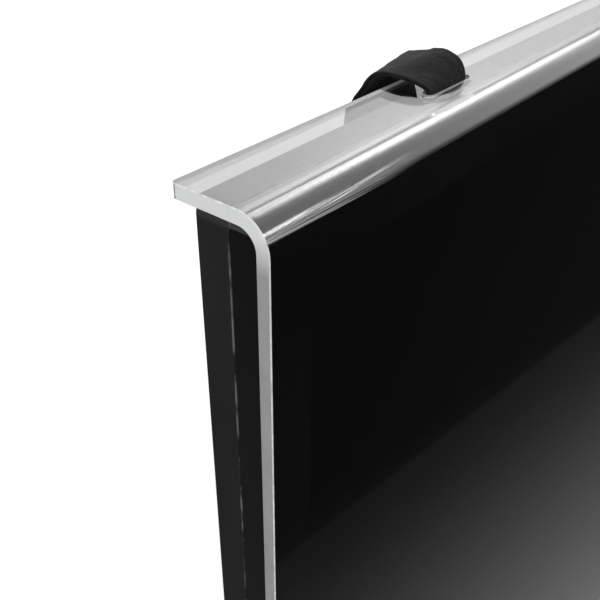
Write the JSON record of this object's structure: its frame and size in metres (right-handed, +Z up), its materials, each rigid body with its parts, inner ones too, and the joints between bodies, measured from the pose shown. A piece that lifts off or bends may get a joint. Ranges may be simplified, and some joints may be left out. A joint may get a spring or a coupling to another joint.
{
  "type": "clear guard sheet strapped over the top edge of a flat panel",
  "caption": "Clear bent acrylic guard hung by its lip over the top edge of a thin black panel, held by hook-and-loop straps through slots in the lip, with a rear mount.",
  "frame": {"origin": "centre of the panel's four rear mount bosses, on the raised rear face", "axes": "+X right seen from the front, +Y to the back, out of the mount face, +Z up towards the lip"},
  "size_m": [1.55, 0.0534, 0.8822],
  "materials": {
    "clear_acrylic": "clear cast acrylic, polished faces and cut edges",
    "strap_webbing": "black brushed-loop nylon webbing",
    "hook_tape": "black moulded hook tape",
    "thread": "black polyester thread",
    "loop_pile": "black brushed loop pile on an adhesive back",
    "bezel_plastic": "gloss black moulding",
    "black_glass": "black-backed gloss glass",
    "foam": "closed-cell foam",
    "module_casing": "white reflector sheet in a moulded case",
    "zinc_steel": "zinc-coated pressed sheet steel",
    "plated_steel": "zinc-plated turned steel",
    "black_screw": "black-oxide pan head",
    "cover_plastic": "fine-grained matt black moulding"
  },
  "bodies": {
    "panel": {"front_bezel": "bezel_plastic", "screen_glass": "black_glass", "screen_gasket": "foam", "screen_module": "module_casing", "chassis_plate": "zinc_steel", "chassis_rail_left": "zinc_steel", "chassis_rail_right": "zinc_steel", "chassis_rail_upper": "zinc_steel", "chassis_rail_lower": "zinc_steel", "mount_bosses": "plated_steel", "cover_standoffs": "plated_steel", "cover_screws": "black_screw", "rear_cover": "cover_plastic", "loop_pad_left": "loop_pile", "loop_pad_right": "loop_pile"},
    "guard": {"guard_sheet": "clear_acrylic", "strap_loop_left": "strap_webbing", "strap_loop_right": "strap_webbing"},
    "tail_left": {"strap_tail_left": "strap_webbing", "hook_patch_left": "hook_tape", "tail_stitching_left": "thread"},
    "tail_right": {"strap_tail_right": "strap_webbing", "hook_patch_right": "hook_tape", "tail_stitching_right": "thread"}
  },
  "joints": [
    {"name": "guard_lift", "type": "slide", "parent": "panel", "child": "guard", "axis": [0, 0, 1], "range_m": [0, 0.12]},
    {"name": "tail_left_peel", "type": "hinge", "parent": "guard", "child": "tail_left", "pos_m": [-0.6543, -0.0067, 0.35465], "axis": [1, 0, 0], "range_deg": [0, 110]},
    {"name": "tail_right_peel", "type": "hinge", "parent": "guard", "child": "tail_right", "pos_m": [0.6543, -0.0067, 0.35465], "axis": [1, 0, 0], "range_deg": [0, 110]}
  ]
}
